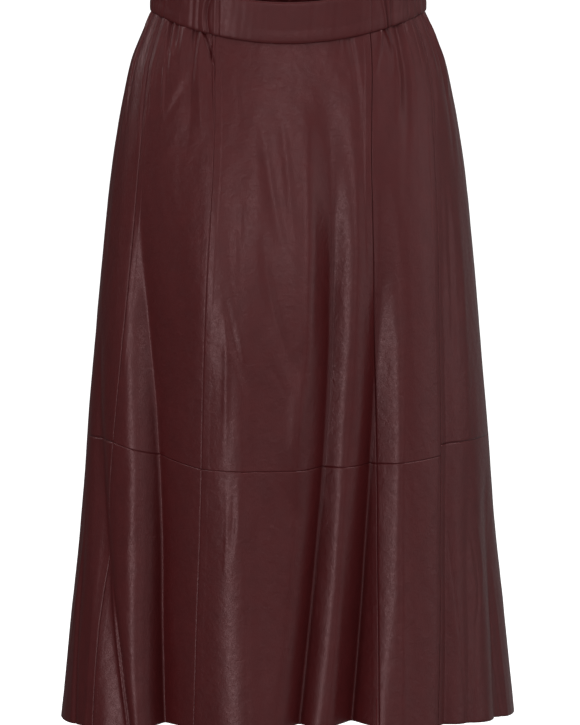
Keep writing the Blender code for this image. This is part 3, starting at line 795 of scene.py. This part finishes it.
# ---- materials ----
SHEEN_TINT = (1.0, 0.66, 0.68)
PATTERN_RANGE = (0.30, 0.70)    # the noise values that mottling and patches of sheen spread over
NAPPA_LIGHT = (0.074, 0.0074, 0.0080)
NAPPA_DARK = (0.062, 0.0062, 0.0068)
FLESH_LIGHT = (0.120, 0.0200, 0.0220)
FLESH_DARK = (0.090, 0.0140, 0.0150)
THREAD_DYE = (0.13, 0.026, 0.030)

# Each leather lies between two dye colours and two roughnesses. Relief is in metres.
LEATHER_COLUMNS = ("name", "light", "dark", "smooth", "rough", "relief", "specular")
LEATHERS = (
    ("burgundy nappa", NAPPA_LIGHT, NAPPA_DARK, 0.32, 0.44, 0.00011, 0.50),
    ("burgundy nappa of the band", NAPPA_LIGHT, NAPPA_DARK, 0.37, 0.48, 0.00006, 0.50),
    ("flesh side of the nappa", FLESH_LIGHT, FLESH_DARK, 0.85, 0.95, 0.00012, 0.20),
)


def add_node(tree, kind, **values):
    """A node with some of its inputs or settings given."""
    node = tree.nodes.new(kind)
    for key, value in values.items():
        if key in node.inputs:
            node.inputs[key].default_value = value
        else:
            setattr(node, key, value)
    return node


def set_range(node, before, after):
    """Make a map range node turn one range of values into another."""
    for key, value in zip(("From Min", "From Max", "To Min", "To Max"), (*before, *after)):
        node.inputs[key].default_value = value


def make_leather_pattern():
    """Group: from a place, the dye's mottling, the patches of sheen and the height of the grain."""
    group = bpy.data.node_groups.new("leather pattern", "ShaderNodeTree")
    group.interface.new_socket("Place", in_out="INPUT", socket_type="NodeSocketVector")
    for name in ("Mottling", "Patches", "Height"):
        group.interface.new_socket(name, in_out="OUTPUT", socket_type="NodeSocketFloat")
    place = add_node(group, "NodeGroupInput").outputs["Place"]
    out = add_node(group, "NodeGroupOutput")
    noise = "ShaderNodeTexNoise"
    mottling = add_node(group, noise, Scale=55.0, Detail=4.0, Roughness=0.62)
    patches = add_node(group, noise, Scale=260.0, Detail=3.0, Roughness=0.65)
    dimples = add_node(group, noise, Scale=120.0, Detail=2.0, Roughness=0.5, Distortion=0.6)
    crumple = add_node(group, noise, Scale=390.0, Detail=2.0, Roughness=0.55, Distortion=0.4)
    pebble = add_node(group, "ShaderNodeTexVoronoi", Scale=1050.0, Randomness=0.95)
    pores = add_node(group, noise, Scale=2600.0, Detail=1.0)
    for texture in (mottling, patches, dimples, crumple, pebble, pores):
        group.links.new(place, texture.inputs["Vector"])
    # each texture raises the leather by its own weight
    height = None
    for texture, output, weight in (
        (pebble, "Distance", -0.16),
        (pores, "Fac", 0.05),
        (crumple, "Fac", 1.0),
        (dimples, "Fac", 3.0),
    ):
        total = add_node(group, "ShaderNodeMath", operation="MULTIPLY_ADD")
        group.links.new(texture.outputs[output], total.inputs[0])
        total.inputs[1].default_value = weight
        total.inputs[2].default_value = 0.0
        if height:
            group.links.new(height.outputs["Value"], total.inputs[2])
        height = total
    group.links.new(mottling.outputs["Fac"], out.inputs["Mottling"])
    group.links.new(patches.outputs["Fac"], out.inputs["Patches"])
    group.links.new(height.outputs["Value"], out.inputs["Height"])
    return group


def make_leather(leather, pattern):
    """A material with the leather pattern: dye from its mottling, roughness from its patches."""
    material = bpy.data.materials.new(leather["name"])
    material.use_nodes = True
    tree = material.node_tree
    shader = tree.nodes["Principled BSDF"]
    place = add_node(tree, "ShaderNodeTexCoord")
    look = add_node(tree, "ShaderNodeGroup", node_tree=pattern)
    tree.links.new(place.outputs["Object"], look.inputs["Place"])
    dye = add_node(tree, "ShaderNodeValToRGB")
    for stop, at, colour in zip(dye.color_ramp.elements, PATTERN_RANGE, ("dark", "light")):
        stop.position = at
        stop.color = (*leather[colour], 1.0)
    tree.links.new(look.outputs["Mottling"], dye.inputs["Fac"])
    tree.links.new(dye.outputs["Color"], shader.inputs["Base Color"])
    sheen = add_node(tree, "ShaderNodeMapRange")
    set_range(sheen, PATTERN_RANGE, (leather["smooth"], leather["rough"]))
    tree.links.new(look.outputs["Patches"], sheen.inputs["Value"])
    tree.links.new(sheen.outputs["Result"], shader.inputs["Roughness"])
    bump = add_node(tree, "ShaderNodeBump", Strength=1.0, Distance=leather["relief"])
    tree.links.new(look.outputs["Height"], bump.inputs["Height"])
    tree.links.new(bump.outputs["Normal"], shader.inputs["Normal"])
    shader.inputs["Specular IOR Level"].default_value = leather["specular"]
    shader.inputs["Specular Tint"].default_value = (*SHEEN_TINT, 1.0)
    return material


def plain_material(name, colour, roughness):
    """A material of one colour."""
    material = bpy.data.materials.new(name)
    material.use_nodes = True
    shader = material.node_tree.nodes["Principled BSDF"]
    shader.inputs["Base Color"].default_value = (*colour, 1.0)
    shader.inputs["Roughness"].default_value = roughness
    return material


# ---- build ----
pattern = make_leather_pattern()
leathers = [make_leather(dict(zip(LEATHER_COLUMNS, row)), pattern) for row in LEATHERS]
nappa, band_nappa, flesh_side = leathers
thread_material = plain_material("burgundy thread", THREAD_DYE, 0.5)

for row in PANELS:
    panel = dict(zip(PANEL_COLUMNS, row))
    for part in ("upper", "lower"):
        piece = add_panel(panel, part, (nappa, flesh_side))
        node = panel["name"] + "_" + part
        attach(piece, "root")
        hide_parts(node)
for row in BANDS:
    band = dict(zip(BAND_COLUMNS, row))
    piece = add_band(band, (band_nappa,))
    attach(piece, "root")
    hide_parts(band["name"])
for name, ends, radius in (
    ("thread_band_left_join", band_stitches(BAND_JOIN_LEFT, BAND_STITCH_SHIFT), BAND_STITCH_RADIUS),
    ("thread_band_right_join", band_stitches(BAND_JOIN_RIGHT, -BAND_STITCH_SHIFT), BAND_STITCH_RADIUS),
    ("thread_left_side_seam", seam_stitches("side_left"), SEAM_STITCH_RADIUS),
):
    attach(add_stitches(name, ends, radius, thread_material), "root")

# ---- floor, light and camera ----
FLOOR_DROP = 0.16
FLOOR_RADIUS = 30.0
CAMERA_DISTANCE = 8.0
CAMERA_ELEVATION = math.radians(5.5)
CAMERA_TARGET = Vector((0.002, 0.0, -0.384))
FRAME_LONG_SIDE = 725
PIXELS_PER_METRE = 970.0
SENSOR_WIDTH = 36.0
WHITE = (1.0, 1.0, 1.0, 1.0)
FILL_DIMS_TOWARDS = (-0.8, 0.6, 0.0)    # the fill is dimmer behind the left side
FILL_DIMS_OVER = (0.35, 0.90)
FILL_STRENGTH = (0.27, 0.06)

SOFTBOX_DISTANCE = 3.0
SOFTBOX_COLUMNS = ("name", "azimuth", "elevation", "width", "height", "power")
SOFTBOXES = (
    ("softbox left", -42.0, 4.0, 0.6, 1.4, 15.0),
    ("softbox left front", -22.0, 10.0, 0.6, 1.7, 2.0),
    ("softbox front", 3.0, 10.0, 0.8, 1.7, 1.5),
    ("softbox right front", 22.0, 10.0, 0.6, 1.7, 3.0),
    ("softbox right", 50.0, 10.0, 0.6, 1.7, 3.5),
    ("softbox right side", 78.0, 10.0, 1.6, 1.7, 7.5),
    ("softbox left side", -92.0, 10.0, 1.4, 1.7, 1.0),
    ("softbox left hip", -112.0, 24.0, 0.8, 0.7, 5.0),
    ("softbox high front", 0.0, 20.0, 1.2, 0.5, 7.5),
    ("softbox high left", -70.0, 55.0, 1.4, 1.4, 18.0),
    ("softbox high right", 70.0, 55.0, 1.4, 1.4, 26.0),
)


def add_floor():
    """A white floor that only the camera sees."""
    bpy.ops.mesh.primitive_circle_add(vertices=96, radius=FLOOR_RADIUS, fill_type="NGON")
    floor = bpy.context.object
    floor.name = "studio_floor"
    floor.location.z = CAD_BOX[0].z - FLOOR_DROP
    material = plain_material("pale floor", (0.85, 0.85, 0.85), 0.9)
    shader = material.node_tree.nodes["Principled BSDF"]
    shader.inputs["Emission Color"].default_value = WHITE
    shader.inputs["Emission Strength"].default_value = 1.0
    floor.data.materials.append(material)
    floor.visible_glossy = False
    floor.visible_diffuse = False


def add_softbox(box):
    """A soft light that faces the middle of the skirt."""
    lamp = bpy.data.lights.new(box["name"], "AREA")
    lamp.shape = "RECTANGLE"
    lamp.size = box["width"]
    lamp.size_y = box["height"]
    lamp.energy = box["power"]
    softbox = bpy.data.objects.new(box["name"], lamp)
    bpy.context.scene.collection.objects.link(softbox)
    azimuth, elevation = math.radians(box["azimuth"]), math.radians(box["elevation"])
    level = math.cos(elevation)
    back = Vector((math.sin(azimuth) * level, -math.cos(azimuth) * level, math.sin(elevation)))
    softbox.location = CAMERA_TARGET + back * SOFTBOX_DISTANCE
    softbox.rotation_euler = back.to_track_quat("Z", "Y").to_euler()


def add_camera():
    """The camera, a little above the middle of the skirt and in front of it."""
    data = bpy.data.cameras.new("camera")
    data.sensor_width = SENSOR_WIDTH
    data.lens = PIXELS_PER_METRE * CAMERA_DISTANCE / FRAME_LONG_SIDE * data.sensor_width
    data.clip_end = 100.0
    camera = bpy.data.objects.new("camera", data)
    bpy.context.scene.collection.objects.link(camera)
    back = Vector((0.0, -math.cos(CAMERA_ELEVATION), math.sin(CAMERA_ELEVATION)))
    camera.location = CAMERA_TARGET + back * CAMERA_DISTANCE
    camera.rotation_euler = back.to_track_quat("Z", "Y").to_euler()
    bpy.context.scene.camera = camera


def add_world():
    """White behind the skirt, a dimmer grey all round as fill."""
    world = bpy.data.worlds.new("studio")
    world.use_nodes = True
    nodes, links = world.node_tree.nodes, world.node_tree.links
    fill = nodes["Background"]
    fill.inputs["Color"].default_value = WHITE
    direction = nodes.new("ShaderNodeTexCoord")
    dim = nodes.new("ShaderNodeVectorMath")
    dim.operation = "DOT_PRODUCT"
    dim.inputs[1].default_value = FILL_DIMS_TOWARDS
    links.new(direction.outputs["Generated"], dim.inputs[0])
    strength = nodes.new("ShaderNodeMapRange")
    set_range(strength, FILL_DIMS_OVER, FILL_STRENGTH)
    links.new(dim.outputs["Value"], strength.inputs["Value"])
    links.new(strength.outputs["Result"], fill.inputs["Strength"])
    white = nodes.new("ShaderNodeBackground")
    white.inputs["Strength"].default_value = 1.0
    white.inputs["Color"].default_value = WHITE
    path = nodes.new("ShaderNodeLightPath")
    choose = nodes.new("ShaderNodeMixShader")
    links.new(path.outputs["Is Camera Ray"], choose.inputs["Fac"])
    links.new(fill.outputs["Background"], choose.inputs[1])
    links.new(white.outputs["Background"], choose.inputs[2])
    links.new(choose.outputs["Shader"], nodes["World Output"].inputs["Surface"])
    bpy.context.scene.world = world


add_floor()
for row in SOFTBOXES:
    add_softbox(dict(zip(SOFTBOX_COLUMNS, row)))
add_world()
add_camera()
bpy.context.scene.view_settings.view_transform = "Standard"
